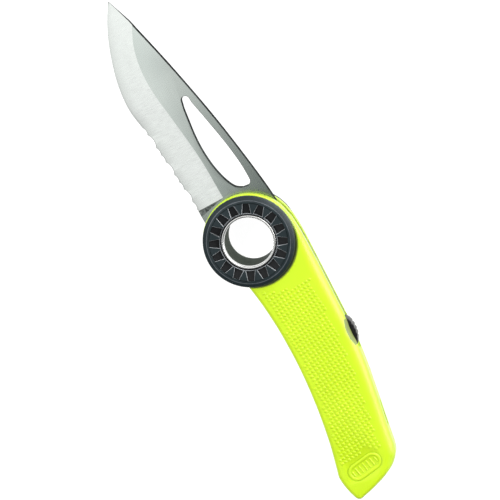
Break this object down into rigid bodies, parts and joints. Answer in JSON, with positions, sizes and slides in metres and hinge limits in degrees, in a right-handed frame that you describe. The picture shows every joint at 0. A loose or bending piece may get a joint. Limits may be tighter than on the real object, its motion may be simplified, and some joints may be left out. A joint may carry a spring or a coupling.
{
  "type": "rigging knife",
  "caption": "Folding rigging knife with a half-scalloped locking blade, a ribbed wheel round a clip-in pivot hole, and a textured nylon handle with a release button.",
  "frame": {"origin": "middle of the open knife's footprint, on the plane of the rear wheel's outer face, on which it lies", "axes": "+X to the blade's tip, +Y to the side of the cutting edge, +Z along the pivot from the rear wheel to the front wheel"},
  "size_m": [0.178, 0.034, 0.0146],
  "materials": {
    "lime_nylon": "moulded, fine raised grid on the sides",
    "black_nylon": "moulded, slightly satin",
    "blade_steel": "satin flats, ground bevel",
    "spring_steel": "satin",
    "polished_steel": "polished",
    "white_acetal": "smooth"
  },
  "bodies": {
    "handle_body": {"front_shell": "lime_nylon", "rear_shell": "lime_nylon", "lever_pin": "spring_steel", "spring_pin": "spring_steel", "lock_spring": "spring_steel", "shell_screw_1": "spring_steel", "shell_screw_2": "spring_steel", "shell_screw_3": "spring_steel"},
    "blade_body": {"blade": "blade_steel", "front_wheel": "black_nylon", "rear_wheel": "black_nylon", "eyelet": "polished_steel", "eyelet_ring": "polished_steel", "front_washer": "white_acetal", "rear_washer": "white_acetal"},
    "lock_body": {"lock_lever": "spring_steel", "release_button": "black_nylon"}
  },
  "joints": [
    {"name": "blade_fold", "type": "hinge", "parent": "handle_body", "child": "blade_body", "pos_m": [0.0023, 0.0004, 0.0073], "axis": [0, 0, 1], "range_deg": [0, 171]},
    {"name": "lock_rock", "type": "hinge", "parent": "handle_body", "child": "lock_body", "pos_m": [-0.0217, -0.0128, 0.0073], "axis": [0, 0, 1], "range_deg": [-1.5, 3.2], "stiffness_Nm_per_rad": 0.05, "deforming": ["lock_spring"]}
  ]
}
